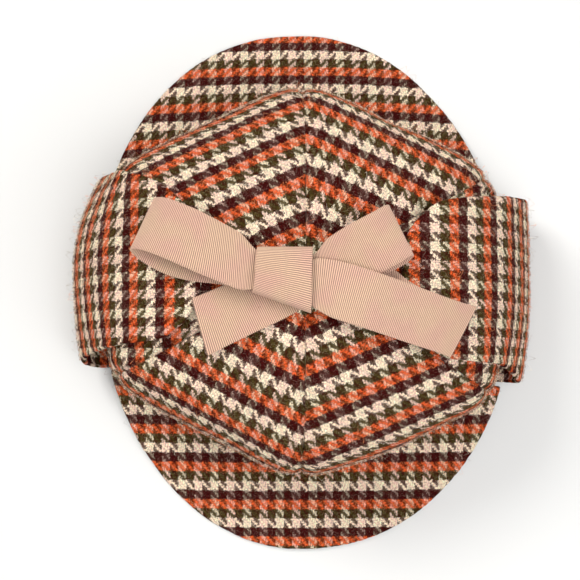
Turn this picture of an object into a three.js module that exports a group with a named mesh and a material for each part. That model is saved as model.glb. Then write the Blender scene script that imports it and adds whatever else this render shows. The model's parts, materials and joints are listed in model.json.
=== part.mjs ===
// Deerstalker hat: a six-panel tweed crown, a peak in front and behind, and two ear flaps
// folded up over the crown and tied on top with a ribbon bow.
// Millimetres, +Z up. The front peak points to -Y and both peaks rest on the plane z = 0.
import * as THREE from 'three';

// Driving dimensions.
const crownHeight = 112;
const crownFoot = 15;
const widestHeight = 50;
const crownCentreY = 1.5;
const apexLeanX = 1.8;
const apexLeanY = -2.2;
const apexRadius = 1.2;
const meanReach = 92;
const clothWall = 2.4;
const flapWall = 3;
const peakWall = 3;
const seamGap = 0.3;
const peakSeamHeight = 18.5;
const peakEndRise = 9;
const peakArch = 2;
const restBand = 1.6;
const ribbonWall = 1;
const ribbonStep = 4;

// Depth and half-width of the valley at a crown seam, and how far a panel swells between seams.
const seamValley = 1.6;
const seamSpread = 5;
const panelSwell = 1.4;

// How sharp the corners of the crown's outline are: low is round, high is six-sided.
const cornerAtTop = 7;
const cornerAtWidest = 20;
const cornerAtFoot = 10;

const woolColour = 0x8e6652;
const ribbonColour = 0xe0b99c;

// The crown's six panels, clockwise from the back seam as seen from above. 'facing' is the
// compass direction of the panel (0 = back, 90 = right) and 'reach' how far it stands from
// the crown's centre at the widest level.
const crownPanels = [
  { name: 'crown_gore_back_right', facing: 26, reach: 91.6 },
  { name: 'crown_gore_right', facing: 90, reach: 98.5 },
  { name: 'crown_gore_front_right', facing: 157, reach: 94 },
  { name: 'crown_gore_front_left', facing: 208, reach: 90.5 },
  { name: 'crown_gore_left', facing: 270, reach: 97 },
  { name: 'crown_gore_back_left', facing: 334.4, reach: 91.6 },
];

// The crown's section from its top to its foot: 'share' of the panel's reach, and height.
const crownProfile = [
  { share: apexRadius / meanReach, height: crownHeight },
  { share: 0.25, height: 111 },
  { share: 0.5, height: 107.6 },
  { share: 0.7, height: 98 },
  { share: 0.88, height: 85.5 },
  { share: 0.965, height: 71 },
  { share: 1, height: widestHeight },
  { share: 0.985, height: 33 },
  { share: 0.95, height: crownFoot },
];

// Soft dents in the crown wall: compass direction, height, depth and half-width.
const crownDents = [
  { compass: 206, height: 74, depth: 2.2, spread: 17 },
  { compass: 152, height: 66, depth: -1.6, spread: 20 },
  { compass: 335, height: 80, depth: 1.8, spread: 16 },
  { compass: 28, height: 66, depth: 1.5, spread: 15 },
  { compass: 180, height: 40, depth: 1.6, spread: 14 },
  { compass: 5, height: 36, depth: 1.4, spread: 14 },
];

// The two peaks. The ends are compass angles either side of the peak's own direction, at the
// crown seam and at the rim. The rim is a quarter oval on each side of that direction. 'reach'
// is how far it comes forward from the origin. Each side has a half-width, as if the oval went
// on to the ear, and a fullness, which is 2 for an ellipse and more for squarer shoulders.
const peaks = [
  {
    name: 'peak_back',
    facing: 0,
    seamEnds: [-60.6, 63.4],
    rimEnds: [-60.5, 65],
    reach: 141,
    sides: [{ halfWidth: 110, fullness: 2.2 }, { halfWidth: 110.5, fullness: 2 }],
  },
  {
    name: 'peak_front',
    facing: 180,
    seamEnds: [-59.6, 64.2],
    rimEnds: [-63.2, 66],
    reach: 140.3,
    sides: [{ halfWidth: 115, fullness: 2.15 }, { halfWidth: 108, fullness: 2 }],
  },
];

// The ear flaps, from the crown seam round the outer fold to the tip on the crown. 'out' and
// 'up' place the outer face, 'back' and 'front' are the flap's two edges. The fold is tucked
// in towards the crown by 'tuckBack' and 'tuckFront' at its ends.
const earFlaps = [
  {
    name: 'ear_flap_left',
    side: -1,
    tuckBack: 15,
    tuckFront: 5,
    path: [
      { out: 95, up: 11.5, back: 48, front: -42 },
      { out: 104.3, up: 8, back: 50, front: -42 },
      { out: 113, up: 11, back: 52, front: -42 },
      { out: 118.2, up: 21, back: 54.5, front: -41 },
      { out: 118.6, up: 31, back: 56.5, front: -39 },
      { out: 115.6, up: 42, back: 57, front: -37 },
      { out: 108.2, up: 60, back: 55.5, front: -35 },
      { out: 97, up: 79.5, back: 53.5, front: -33 },
      { out: 80.5, up: 95.6, back: 50, front: -31 },
      { out: 62, up: 106.6, back: 42, front: -29 },
      { out: 47, up: 112, back: 36, front: -27 },
    ],
  },
  {
    name: 'ear_flap_right',
    side: 1,
    tuckBack: 0.5,
    tuckFront: 5.5,
    path: [
      { out: 96, up: 11.5, back: 44, front: -49 },
      { out: 105.5, up: 8, back: 45, front: -49.5 },
      { out: 114.5, up: 11, back: 45, front: -50 },
      { out: 119.2, up: 21, back: 45, front: -50.5 },
      { out: 119.4, up: 31, back: 45, front: -50 },
      { out: 116.4, up: 42, back: 44, front: -47.5 },
      { out: 109.5, up: 60, back: 42, front: -44 },
      { out: 99.5, up: 79.5, back: 40, front: -41 },
      { out: 83.5, up: 96, back: 38, front: -40 },
      { out: 64, up: 107.4, back: 35, front: -38 },
      { out: 47, up: 113, back: 32, front: -35 },
    ],
  },
];
const flapDrape = 0.86;
const flapDrapeFrom = 78;
const flapDrapeTo = 97;
const flapTipLength = 26;
const flapTipShare = 0.22;
const flapSeamShare = 0.07;
const flapSeamHeight = 17;

// The bow's ribbons, from the knot outwards. Each row gives the middle of the ribbon's outer
// face, the direction of its width ('heading', in degrees from +X), how that width is tilted
// ('roll'), how closely the ribbon follows the crown below it ('lay', 0 to 1) and its width.
const ribbons = [
  {
    name: 'ribbon_tie_left',
    rows: [
      { x: -9, y: -1, z: 113.5, heading: 90, roll: 0, lay: 1, width: 18 },
      { x: -26, y: 2, z: 112.7, heading: 93, roll: 0, lay: 1, width: 18 },
      { x: -39, y: 6.5, z: 111.6, heading: 95, roll: 0, lay: 1, width: 18 },
      { x: -48, y: 9, z: 113.5, heading: 96, roll: 0, lay: 0.9, width: 15 },
      { x: -58, y: 11, z: 110.7, heading: 97, roll: 0, lay: 0.9, width: 14 },
    ],
  },
  {
    name: 'ribbon_tie_right',
    rows: [
      { x: -5, y: -2, z: 113.5, heading: -90, roll: 0, lay: 1, width: 18 },
      { x: 20, y: -3, z: 113.6, heading: -90, roll: 0, lay: 1, width: 20 },
      { x: 38, y: -6.5, z: 112.9, heading: -94, roll: 0, lay: 1, width: 20 },
      { x: 48, y: -11.5, z: 114.8, heading: -98, roll: 0, lay: 0.9, width: 15 },
      { x: 59, y: -17, z: 111.5, heading: -102, roll: 0, lay: 0.9, width: 14 },
    ],
  },
  {
    name: 'bow_tail_left',
    rows: [
      { x: -6.5, y: -6, z: 115, heading: 116, roll: 0, lay: 0.4, width: 24 },
      { x: -16, y: -10.4, z: 114.6, heading: 116, roll: 0, lay: 0.6, width: 25 },
      { x: -28, y: -16, z: 114.2, heading: 115, roll: 0, lay: 0.8, width: 25 },
      { x: -38, y: -20.6, z: 113.5, heading: 111, roll: 0, lay: 0.8, width: 25.5 },
      { x: -46.7, y: -24.6, z: 112.8, heading: 105, roll: 0, lay: 0.8, width: 26.7 },
    ],
  },
  {
    name: 'bow_loop_left',
    rows: [
      { x: -14, y: 0.5, z: 124, heading: 85, roll: 0, lay: 0, width: 13 },
      { x: -21.5, y: 0.8, z: 125, heading: 84, roll: 2, lay: 0, width: 17 },
      { x: -29, y: 4.6, z: 128, heading: 86, roll: 6, lay: 0, width: 24.4 },
      { x: -42, y: 10.5, z: 130.5, heading: 79, roll: 9, lay: 0, width: 25 },
      { x: -56, y: 17, z: 128.5, heading: 70, roll: 7, lay: 0, width: 25 },
      { x: -68, y: 21.8, z: 123.3, heading: 66, roll: 3, lay: 0, width: 25 },
      { x: -73.2, y: 22.2, z: 117.4, heading: 65, roll: 0, lay: 0, width: 25 },
      { x: -69.5, y: 18.2, z: 112.4, heading: 64, roll: 0, lay: 0, width: 25 },
      { x: -58.5, y: 11.8, z: 112.4, heading: 69, roll: 0, lay: 0.2, width: 25 },
      { x: -46.5, y: 8.6, z: 114.3, heading: 73, roll: 0, lay: 0.2, width: 25 },
      { x: -34, y: 6.6, z: 115.4, heading: 78, roll: 0, lay: 0.2, width: 24 },
      { x: -22, y: 1.4, z: 118, heading: 84, roll: 0, lay: 0, width: 14 },
      { x: -14, y: 1, z: 118.6, heading: 86, roll: 0, lay: 0, width: 13 },
    ],
  },
  {
    name: 'bow_loop_right',
    rows: [
      { x: -2, y: -3.5, z: 121, heading: -88, roll: 0, lay: 0, width: 13 },
      { x: 7, y: -2.4, z: 121, heading: -84, roll: -4, lay: 0, width: 21 },
      { x: 15, y: 2.4, z: 122.8, heading: -74, roll: -10, lay: 0, width: 25 },
      { x: 27, y: 9.4, z: 124.4, heading: -65, roll: -12, lay: 0, width: 25 },
      { x: 38, y: 15.4, z: 123.4, heading: -62, roll: -8, lay: 0, width: 25 },
      { x: 44, y: 19, z: 120.4, heading: -63, roll: -3, lay: 0, width: 25 },
      { x: 45.3, y: 19.2, z: 118.4, heading: -64, roll: 0, lay: 0, width: 25 },
      { x: 42.5, y: 16.2, z: 116, heading: -64, roll: 0, lay: 0, width: 25 },
      { x: 33, y: 11.2, z: 115.6, heading: -66, roll: 0, lay: 0.1, width: 25 },
      { x: 20, y: 5, z: 115.9, heading: -74, roll: 0, lay: 0.1, width: 24 },
      { x: 8, y: -1.4, z: 117.4, heading: -84, roll: 0, lay: 0, width: 17 },
      { x: -2, y: -3, z: 118.2, heading: -88, roll: 0, lay: 0, width: 13 },
    ],
  },
  {
    name: 'bow_tail_right',
    rows: [
      { x: -1, y: -3.6, z: 123.4, heading: -91, roll: 0, lay: 0, width: 14 },
      { x: 6.5, y: -5.4, z: 124.4, heading: -94, roll: 0, lay: 0, width: 22 },
      { x: 17, y: -8.8, z: 126.6, heading: -104, roll: 0, lay: 0, width: 25 },
      { x: 30, y: -12.9, z: 126, heading: -108, roll: 0, lay: 0, width: 25 },
      { x: 42, y: -16.6, z: 121.4, heading: -109, roll: 0, lay: 0.2, width: 25 },
      { x: 54, y: -20.4, z: 116, heading: -110, roll: 0, lay: 0.5, width: 25 },
      { x: 66, y: -24, z: 110, heading: -114, roll: 0, lay: 0.8, width: 25 },
      { x: 75.3, y: -26.6, z: 104.2, heading: -119, roll: 0, lay: 0.8, width: 26.4 },
    ],
  },
];

// The knot is the ribbon wrapped once round the bow. Its front edge slants from left to right,
// and its left and right edges lean outwards at the back by 'leanLeft' and 'leanRight'.
const knot = {
  name: 'bow_knot',
  left: -20.9,
  right: 3.9,
  leanLeft: 1.1,
  leanRight: 0.4,
  back: 11.2,
  frontLeft: -9.5,
  frontRight: -18.6,
  bottom: 115.4,
  top: 128.4,
  roundness: 0.62,
};

function radians(angle) {
  return THREE.MathUtils.degToRad(angle);
}

// Radius of the crown's six-sided outline in a compass direction, with rounded corners.
function crownOutline(compass, cornerPower) {
  let sum = 0;
  for (const panel of crownPanels) {
    const towards = Math.max(0, Math.cos(radians(compass - panel.facing)));
    sum += (towards / panel.reach) ** cornerPower;
  }
  return sum ** (-1 / cornerPower);
}

function cornerPowerAt(height) {
  const { lerp, smoothstep } = THREE.MathUtils;
  if (height > widestHeight) {
    return lerp(cornerAtWidest, cornerAtTop, smoothstep(height, widestHeight, crownHeight));
  }
  return lerp(cornerAtFoot, cornerAtWidest, smoothstep(height, crownFoot, widestHeight));
}

const profileCurve = new THREE.CatmullRomCurve3(
  crownProfile.map((row) => new THREE.Vector3(row.share * meanReach, row.height, 0)),
);

// A point of the crown before its seams and dents: 'down' runs from 0 at the top to 1 at the foot.
function crownBody(compass, down) {
  const station = profileCurve.getPointAt(THREE.MathUtils.clamp(down, 0, 1));
  const height = station.y;
  const radius = (station.x / meanReach) * crownOutline(compass, cornerPowerAt(height));
  const lean = THREE.MathUtils.smoothstep(height, widestHeight, crownHeight);
  const x = radius * Math.sin(radians(compass)) + lean * apexLeanX;
  const y = radius * Math.cos(radians(compass)) + lean * apexLeanY + crownCentreY;
  return new THREE.Vector3(x, y, height);
}

// How far along the profile a height, or a distance out in one direction, is reached.
function findDown(isPast) {
  let low = 0;
  let high = 1;
  for (let step = 0; step < 24; step += 1) {
    const middle = (low + high) / 2;
    if (isPast(middle)) {
      high = middle;
    } else {
      low = middle;
    }
  }
  return low;
}

function crownAtHeight(compass, height) {
  return crownBody(compass, findDown((down) => crownBody(compass, down).z < height));
}

// Height of the crown's outer face over a place in plan, for places inside its outline.
function crownTop(x, y) {
  const compass = THREE.MathUtils.radToDeg(Math.atan2(x - apexLeanX / 2, y - crownCentreY - apexLeanY / 2));
  const distance = Math.hypot(x, y);
  const isPast = (down) => {
    const point = crownBody(compass, down);
    return Math.hypot(point.x, point.y) > distance || point.z < widestHeight;
  };
  return crownBody(compass, findDown(isPast)).z;
}

// Compass direction of the seam between two neighbouring panels.
function seamCompass(first, second) {
  const a = radians(first.facing);
  const b = radians(second.facing);
  const determinant = Math.sin(a) * Math.cos(b) - Math.cos(a) * Math.sin(b);
  const x = (first.reach * Math.cos(b) - second.reach * Math.cos(a)) / determinant;
  const y = (second.reach * Math.sin(a) - first.reach * Math.sin(b)) / determinant;
  return THREE.MathUtils.radToDeg(Math.atan2(x, y));
}

function wrapAngle(angle) {
  return ((angle + 540) % 360) - 180;
}

function crownDent(point, compass) {
  let depth = 0;
  for (const dent of crownDents) {
    const around = radians(wrapAngle(compass - dent.compass)) * meanReach;
    const away = Math.hypot(around, point.z - dent.height) / dent.spread;
    depth += dent.depth * Math.exp(-away * away);
  }
  return depth;
}

function slopeNormal(surface, across, along) {
  const step = 0.002;
  const low = (value) => Math.max(0, value - step);
  const high = (value) => Math.min(1, value + step);
  const acrossStep = surface(high(across), along).sub(surface(low(across), along));
  const alongStep = surface(across, high(along)).sub(surface(across, low(along)));
  return acrossStep.cross(alongStep).normalize();
}

// A closed sheet of even thickness. surface(across, along) gives its outer face, and the
// inner face lies 'wall' below it. 'closed' joins the two sides of the sheet into a band.
function sheetGeometry({ surface, acrossCount, stations, wall, closed = false, settle }) {
  const columns = closed ? acrossCount : acrossCount + 1;
  const positions = [];
  for (const face of [0, 1]) {
    for (const along of stations) {
      for (let column = 0; column < columns; column += 1) {
        const across = column / acrossCount;
        const point = surface(across, along);
        const normal = slopeNormal(surface, across, along);
        point.addScaledVector(normal, -wall * face);
        if (settle) {
          settle(point);
        }
        positions.push(point.x, point.y, point.z);
      }
    }
  }
  const rows = stations.length;
  const indices = [];
  const vertex = (face, row, column) => (face * rows + row) * columns + (column % columns);
  const quad = (a, b, c, d) => indices.push(a, b, c, a, c, d);
  for (let row = 0; row < rows - 1; row += 1) {
    for (let column = 0; column < acrossCount; column += 1) {
      const corners = [[row, column], [row, column + 1], [row + 1, column + 1], [row + 1, column]];
      quad(...corners.map(([r, c]) => vertex(0, r, c)));
      quad(...corners.reverse().map(([r, c]) => vertex(1, r, c)));
    }
  }
  for (let column = 0; column < acrossCount; column += 1) {
    const last = rows - 1;
    quad(vertex(0, 0, column + 1), vertex(0, 0, column), vertex(1, 0, column), vertex(1, 0, column + 1));
    quad(vertex(0, last, column), vertex(0, last, column + 1), vertex(1, last, column + 1), vertex(1, last, column));
  }
  if (!closed) {
    for (let row = 0; row < rows - 1; row += 1) {
      const side = acrossCount;
      quad(vertex(0, row, 0), vertex(0, row + 1, 0), vertex(1, row + 1, 0), vertex(1, row, 0));
      quad(vertex(0, row + 1, side), vertex(0, row, side), vertex(1, row, side), vertex(1, row + 1, side));
    }
  }
  const geometry = new THREE.BufferGeometry();
  geometry.setAttribute('position', new THREE.Float32BufferAttribute(positions, 3));
  geometry.setIndex(indices);
  geometry.computeVertexNormals();
  return geometry;
}

function evenStations(count) {
  return Array.from({ length: count + 1 }, (_, index) => index / count);
}

const group = new THREE.Group();
const wool = () => new THREE.MeshStandardMaterial({ color: woolColour, roughness: 0.95, metalness: 0 });
const grosgrain = () => new THREE.MeshStandardMaterial({ color: ribbonColour, roughness: 0.7, metalness: 0 });

function addPiece(name, geometry, material) {
  const mesh = new THREE.Mesh(geometry, material);
  mesh.name = name;
  group.add(mesh);
}

// Crown panels.
crownPanels.forEach((panel, index) => {
  const before = crownPanels[(index + 5) % 6];
  const after = crownPanels[(index + 1) % 6];
  const start = panel.facing + wrapAngle(seamCompass(before, panel) - panel.facing);
  const end = panel.facing + wrapAngle(seamCompass(panel, after) - panel.facing);
  const place = (across, along) => {
    const middle = crownBody((start + end) / 2, along);
    const radius = Math.hypot(middle.x - apexLeanX, middle.y - crownCentreY) + apexRadius / 2;
    const margin = THREE.MathUtils.radToDeg(Math.asin(Math.min(0.2, seamGap / 2 / radius)));
    const compass = THREE.MathUtils.lerp(start + margin, end - margin, across);
    return { compass, point: crownBody(compass, along), radius };
  };
  const body = (across, along) => place(across, along).point;
  const surface = (across, along) => {
    const { compass, point, radius } = place(across, along);
    const toSeam = radius * Math.sin(radians(Math.min(compass - start, end - compass)));
    const valley = seamValley * Math.exp(-((toSeam / seamSpread) ** 2));
    const ripple = panelSwell * Math.sin(Math.PI * across) * Math.sin(Math.PI * along);
    const relief = (ripple - valley) * THREE.MathUtils.smoothstep(radius, 4, 20) - crownDent(point, compass);
    return point.addScaledVector(slopeNormal(body, across, along), relief);
  };
  const geometry = sheetGeometry({ surface, acrossCount: 8, stations: evenStations(15), wall: clothWall });
  addPiece(panel.name, geometry, wool());
});

// Peaks.
function rimRadius(peak, compass) {
  const turn = radians(compass - peak.facing);
  const { halfWidth, fullness } = peak.sides[turn < 0 ? 0 : 1];
  const ahead = Math.cos(turn) / peak.reach;
  const aside = Math.abs(Math.sin(turn)) / halfWidth;
  return (ahead ** fullness + aside ** fullness) ** (-1 / fullness);
}

for (const peak of peaks) {
  const surface = (across, along) => {
    const { lerp, smoothstep } = THREE.MathUtils;
    const seamAngle = peak.facing + lerp(peak.seamEnds[0], peak.seamEnds[1], across);
    const rimAngle = peak.facing + lerp(peak.rimEnds[0], peak.rimEnds[1], across);
    const compass = lerp(seamAngle, rimAngle, along);
    const seam = crownAtHeight(compass, peakSeamHeight);
    const seamRadius = Math.hypot(seam.x, seam.y) + seamGap + seamValley / 2;
    const radius = lerp(seamRadius, rimRadius(peak, compass), along);
    const rimHeight = peakWall + peakEndRise * smoothstep(Math.abs(compass - peak.facing), 32, 66);
    const height = lerp(peakSeamHeight, rimHeight, along) + peakArch * Math.sin(Math.PI * along);
    const direction = radians(compass);
    return new THREE.Vector3(radius * Math.sin(direction), radius * Math.cos(direction), height);
  };
  const settle = (point) => {
    if (point.z < restBand) {
      point.z = 0;
    }
  };
  const stations = [0, 0.2, 0.4, 0.6, 0.8, 0.94, 1];
  addPiece(peak.name, sheetGeometry({ surface, acrossCount: 34, stations, wall: peakWall, settle }), wool());
}

// Ear flaps.
for (const flap of earFlaps) {
  const outer = new THREE.CatmullRomCurve3(flap.path.map((row) => new THREE.Vector3(row.out, row.up, 0)));
  const edges = new THREE.CatmullRomCurve3(flap.path.map((row) => new THREE.Vector3(row.back, row.front, 0)));
  const length = outer.getLength();
  const surface = (across, along) => {
    const { lerp, smoothstep } = THREE.MathUtils;
    const place = outer.getUtoTmapping(along);
    const { x: out, y: height } = outer.getPoint(place);
    const { x: back, y: front } = edges.getPoint(place);
    const middle = (back + front) / 2;
    const intoTip = Math.max(0, 1 - ((1 - along) * length) / flapTipLength);
    const narrowing = lerp(flapTipShare, 1, Math.sqrt(1 - intoTip * intoTip));
    const offset = (across * 2 - 1) * flap.side;
    const y = middle + ((offset * (back - front)) / 2) * narrowing;
    const tuck = offset > 0 ? flap.tuckBack : flap.tuckFront;
    const foldShare = Math.sin(Math.PI * Math.min(1, along * 1.35));
    const x = (out - tuck * offset * offset * foldShare) * flap.side;
    const atSeam = 1 - smoothstep(along, 0, flapSeamShare);
    const seam = crownAtHeight(THREE.MathUtils.radToDeg(Math.atan2(x, y)), flapSeamHeight);
    const drape = flapDrape * smoothstep(height, flapDrapeFrom, flapDrapeTo);
    const sag = drape > 0 ? drape * (crownTop(x, middle) - crownTop(x, y)) : 0;
    const point = new THREE.Vector3(x, y, height - sag);
    return point.lerp(new THREE.Vector3(seam.x + seamGap * 2 * flap.side, seam.y, height), atSeam);
  };
  const stations = evenStations(22);
  addPiece(flap.name, sheetGeometry({ surface, acrossCount: 8, stations, wall: flapWall }), wool());
}

// Ribbons of the bow and the ties.
for (const ribbon of ribbons) {
  const curveOf = (read) => new THREE.CatmullRomCurve3(ribbon.rows.map(read));
  const middles = curveOf((row) => new THREE.Vector3(row.x, row.y, row.z));
  const headings = curveOf((row) => new THREE.Vector3(row.heading, row.roll, row.lay));
  const widths = curveOf((row) => new THREE.Vector3(row.width, 0, 0));
  const surface = (across, along) => {
    const place = middles.getUtoTmapping(along);
    const middle = middles.getPoint(place);
    const { x: heading, y: roll, z: lay } = headings.getPoint(place);
    const reach = widths.getPoint(place).x * (across - 0.5);
    const x = middle.x + reach * Math.cos(radians(heading));
    const y = middle.y + reach * Math.sin(radians(heading));
    const fall = lay > 0 ? lay * (crownTop(x, y) - crownTop(middle.x, middle.y)) : 0;
    return new THREE.Vector3(x, y, middle.z + fall + reach * Math.sin(radians(roll)));
  };
  const stations = evenStations(Math.round(middles.getLength() / ribbonStep));
  addPiece(ribbon.name, sheetGeometry({ surface, acrossCount: 3, stations, wall: ribbonWall }), grosgrain());
}

// Knot.
const squared = (value) => Math.sign(value) * Math.abs(value) ** knot.roundness;
const knotSurface = (across, along) => {
  const { lerp } = THREE.MathUtils;
  const turn = 2 * Math.PI * across;
  const front = lerp(knot.frontLeft, knot.frontRight, along);
  const middleY = (knot.back + front) / 2;
  const halfDepth = (knot.back - front) / 2;
  const halfHeight = (knot.top - knot.bottom) / 2;
  const x = lerp(knot.left, knot.right, along) + lerp(knot.leanLeft, knot.leanRight, along) * Math.cos(turn);
  const y = middleY + halfDepth * squared(Math.cos(turn));
  return new THREE.Vector3(x, y, knot.bottom + halfHeight * (1 + squared(Math.sin(turn))));
};
const knotBand = { surface: knotSurface, acrossCount: 28, stations: evenStations(4), wall: ribbonWall, closed: true };
addPiece(knot.name, sheetGeometry(knotBand), grosgrain());

export default group;
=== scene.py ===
import json
import math

import bpy
import numpy as np
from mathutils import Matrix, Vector

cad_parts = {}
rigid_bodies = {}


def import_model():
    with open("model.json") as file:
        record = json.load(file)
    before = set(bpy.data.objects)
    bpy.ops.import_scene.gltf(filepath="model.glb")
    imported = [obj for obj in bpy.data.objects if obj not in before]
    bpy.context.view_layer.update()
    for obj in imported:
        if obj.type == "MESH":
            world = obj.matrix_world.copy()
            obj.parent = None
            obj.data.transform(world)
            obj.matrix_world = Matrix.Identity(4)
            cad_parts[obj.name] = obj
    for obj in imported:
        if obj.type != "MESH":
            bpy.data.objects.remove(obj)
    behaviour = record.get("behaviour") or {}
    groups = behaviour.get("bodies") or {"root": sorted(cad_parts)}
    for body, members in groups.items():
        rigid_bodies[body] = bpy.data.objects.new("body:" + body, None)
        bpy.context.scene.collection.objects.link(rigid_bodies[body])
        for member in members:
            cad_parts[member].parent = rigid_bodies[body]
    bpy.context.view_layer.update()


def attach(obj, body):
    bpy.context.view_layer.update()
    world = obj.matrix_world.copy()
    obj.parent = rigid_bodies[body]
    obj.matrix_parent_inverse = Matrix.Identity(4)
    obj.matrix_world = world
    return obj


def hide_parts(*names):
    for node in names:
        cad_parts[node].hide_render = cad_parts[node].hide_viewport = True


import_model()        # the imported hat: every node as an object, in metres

mm = 0.001

print("camera, light and floor")
shot = {
    "height": 0.708,      # from the floor to the camera
    "lean": 3.9,          # degrees from straight down, towards the front peak
    "aside": -0.0055,
    "frameWidth": 0.317,  # what the picture spans on the floor
}


def show(thing):
    bpy.context.scene.collection.objects.link(thing)


def addCamera():
    lens = bpy.data.cameras.new("camera")
    lens.sensor_width = 36
    lens.lens = lens.sensor_width * shot["height"] / shot["frameWidth"]
    lens.clip_start = 0.01
    camera = bpy.data.objects.new("camera", lens)
    lean = math.radians(shot["lean"])
    camera.location = (shot["aside"], -math.sin(lean) * shot["height"], math.cos(lean) * shot["height"])
    camera.rotation_euler = (lean, 0, 0)
    show(camera)
    bpy.context.scene.camera = camera


# places in metres, power in watts
lamps = {
    "window": {"place": (-0.75, 0.75, 1.25), "size": 0.7, "power": 19, "tint": (1.0, 0.985, 0.96)},
    "fill": {"place": (0.9, -0.5, 1.1), "size": 1.2, "power": 10.5, "tint": (0.97, 0.98, 1.0)},
    "above": {"place": (0.1, -0.15, 0.95), "size": 0.6, "power": 4.5, "tint": (1.0, 1.0, 1.0)},
}
surround = {"tint": (1.0, 0.99, 0.98, 1.0), "strength": 0.42}
ground = {"reach": 3.0, "tint": (0.64, 0.64, 0.63, 1.0), "roughness": 0.6}


def addLamps():
    for name, lamp in lamps.items():
        light = bpy.data.lights.new(name, "AREA")
        light.shape = "DISK"
        light.size = lamp["size"]
        light.energy = lamp["power"]
        light.color = lamp["tint"]
        holder = bpy.data.objects.new(name, light)
        holder.location = lamp["place"]
        holder.rotation_euler = (-Vector(lamp["place"])).to_track_quat("-Z", "Y").to_euler()
        show(holder)


def addSurround():
    world = bpy.data.worlds.new("surround")
    world.use_nodes = True
    backdrop = world.node_tree.nodes["Background"]
    backdrop.inputs["Color"].default_value = surround["tint"]
    backdrop.inputs["Strength"].default_value = surround["strength"]
    bpy.context.scene.world = world


def addGround():
    mesh = bpy.data.meshes.new("ground")
    reach = ground["reach"]
    corners = [(-reach, -reach, 0), (reach, -reach, 0), (reach, reach, 0), (-reach, reach, 0)]
    mesh.from_pydata(corners, [], [(0, 1, 2, 3)])
    material = bpy.data.materials.new("ground")
    material.use_nodes = True
    finish = material.node_tree.nodes["Principled BSDF"]
    finish.inputs["Base Color"].default_value = ground["tint"]
    finish.inputs["Roughness"].default_value = ground["roughness"]
    mesh.materials.append(material)
    floor = bpy.data.objects.new("ground", mesh)
    show(floor)


addCamera()
addLamps()
addSurround()
addGround()
bpy.context.scene.view_settings.view_transform = "Standard"


# A socket of a node tree, so that sums on sockets read as sums.
class Wire:
    def __init__(self, tree, socket):
        self.tree = tree
        self.socket = socket

    def node(self, kind, settings=None, values=(), out=0):
        made = self.tree.nodes.new(kind)
        for name, value in (settings or {}).items():
            if name == "stops":
                fillRamp(made.color_ramp, value)
            else:
                setattr(made, name, value)
        items = values.items() if isinstance(values, dict) else enumerate(values)
        for key, value in items:
            if isinstance(value, Wire):
                self.tree.links.new(value.socket, made.inputs[key])
            else:
                made.inputs[key].default_value = value
        return Wire(self.tree, made.outputs[out])

    # a sum on this wire, with any further values
    def math(self, operation, *others):
        return self.node("ShaderNodeMath", {"operation": operation}, (self, *others))

    def also(self, out):
        return Wire(self.tree, self.socket.node.outputs[out])

    def __add__(self, other):
        return self.math("ADD", other)

    def __radd__(self, other):
        return self.math("ADD", other)

    def __sub__(self, other):
        return self.math("SUBTRACT", other)

    def __rsub__(self, other):
        return self.node("ShaderNodeMath", {"operation": "SUBTRACT"}, (other, self))

    def __mul__(self, other):
        return self.math("MULTIPLY", other)

    def __rmul__(self, other):
        return self.math("MULTIPLY", other)

    def __truediv__(self, other):
        return self.math("DIVIDE", other)

    def __mod__(self, other):
        return self.math("FLOORED_MODULO", other)

    def __pow__(self, other):
        return self.math("POWER", other)


def fillRamp(ramp, stops):
    # stops: (interpolation, [(place, colour), ...])
    ramp.interpolation = stops[0]
    while len(ramp.elements) < len(stops[1]):
        ramp.elements.new(0.5)
    for element, (place, colour) in zip(ramp.elements, stops[1]):
        element.position = place
        element.color = colour


def toLight(part):
    share = part / 255
    return ((share + 0.055) / 1.055) ** 2.4 if part > 10 else share / 12.92


# a colour as it looks on a screen, 0 to 255, turned into light
def dye(red, green, blue):
    return (toLight(red), toLight(green), toLight(blue), 1.0)


print("finishes")
tweed = {
    # bands of four threads: orange, plum, cream and green one way, cream, brown, pink and plum the other
    "weftYarns": [dye(222, 92, 44), dye(66, 12, 10), dye(255, 228, 200), dye(72, 58, 26)],
    "warpYarns": [dye(255, 240, 208), dye(64, 28, 13), dye(255, 220, 200), dye(62, 12, 8)],
    "swell": [0.0, 0.3, -0.35, 0.1],      # how far each weft band spreads over the warp, in threads
    "cover": [0.16, 0.45, 0.02, 0.22],    # how much of the warp its loose fibres hide
    "paleCover": [0.42, 0.3, 0.0, 0.05],  # how much more of a pale warp they hide
    "wander": {"scale": 0.45, "detail": 1.0, "reach": 0.8},  # how far yarns stray, in threads
    "fray": {"scale": 1.9, "detail": 2.0, "reach": 2.4},     # how ragged a yarn's sides are
    "bleed": 0.03,        # how much of the yarn below shows through
    "roundness": 0.6,     # of a yarn's section: lower is flatter on top
    "floatRise": 0.5,     # how much a yarn dips at the ends of its float
    "fleckStretch": (5.5, 1.3),
    "heather": 0.68,      # how much the flecks lighten and darken the wool
    "gapShade": 0.24,
    "gain": 1.35,
    "bump": 0.0006,
    "fleckBump": 0.25,
    "roughness": 0.92,
    "specular": 0.04,
}


def mixColours(wire, factor, first, second, blend="MIX"):
    settings = {"data_type": "RGBA", "blend_type": blend}
    return wire.node("ShaderNodeMix", settings, {0: factor, 6: first, 7: second}, 2)


def shadeColour(wire, colour, shade):
    grey = wire.node("ShaderNodeCombineXYZ", {}, [shade, shade, shade])
    return mixColours(wire, 1.0, colour, grey, "MULTIPLY")


def noiseAt(wire, place, scale, detail, out=0):
    return wire.node("ShaderNodeTexNoise", {}, {"Vector": place, "Scale": scale, "Detail": detail}, out)


def vectorMath(wire, operation, values):
    return wire.node("ShaderNodeVectorMath", {"operation": operation}, values)


def spreadBetween(wire, value, low, high, first, last):
    return wire.node("ShaderNodeMapRange", {}, {0: value, 1: low, 2: high, 3: first, 4: last})


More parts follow.
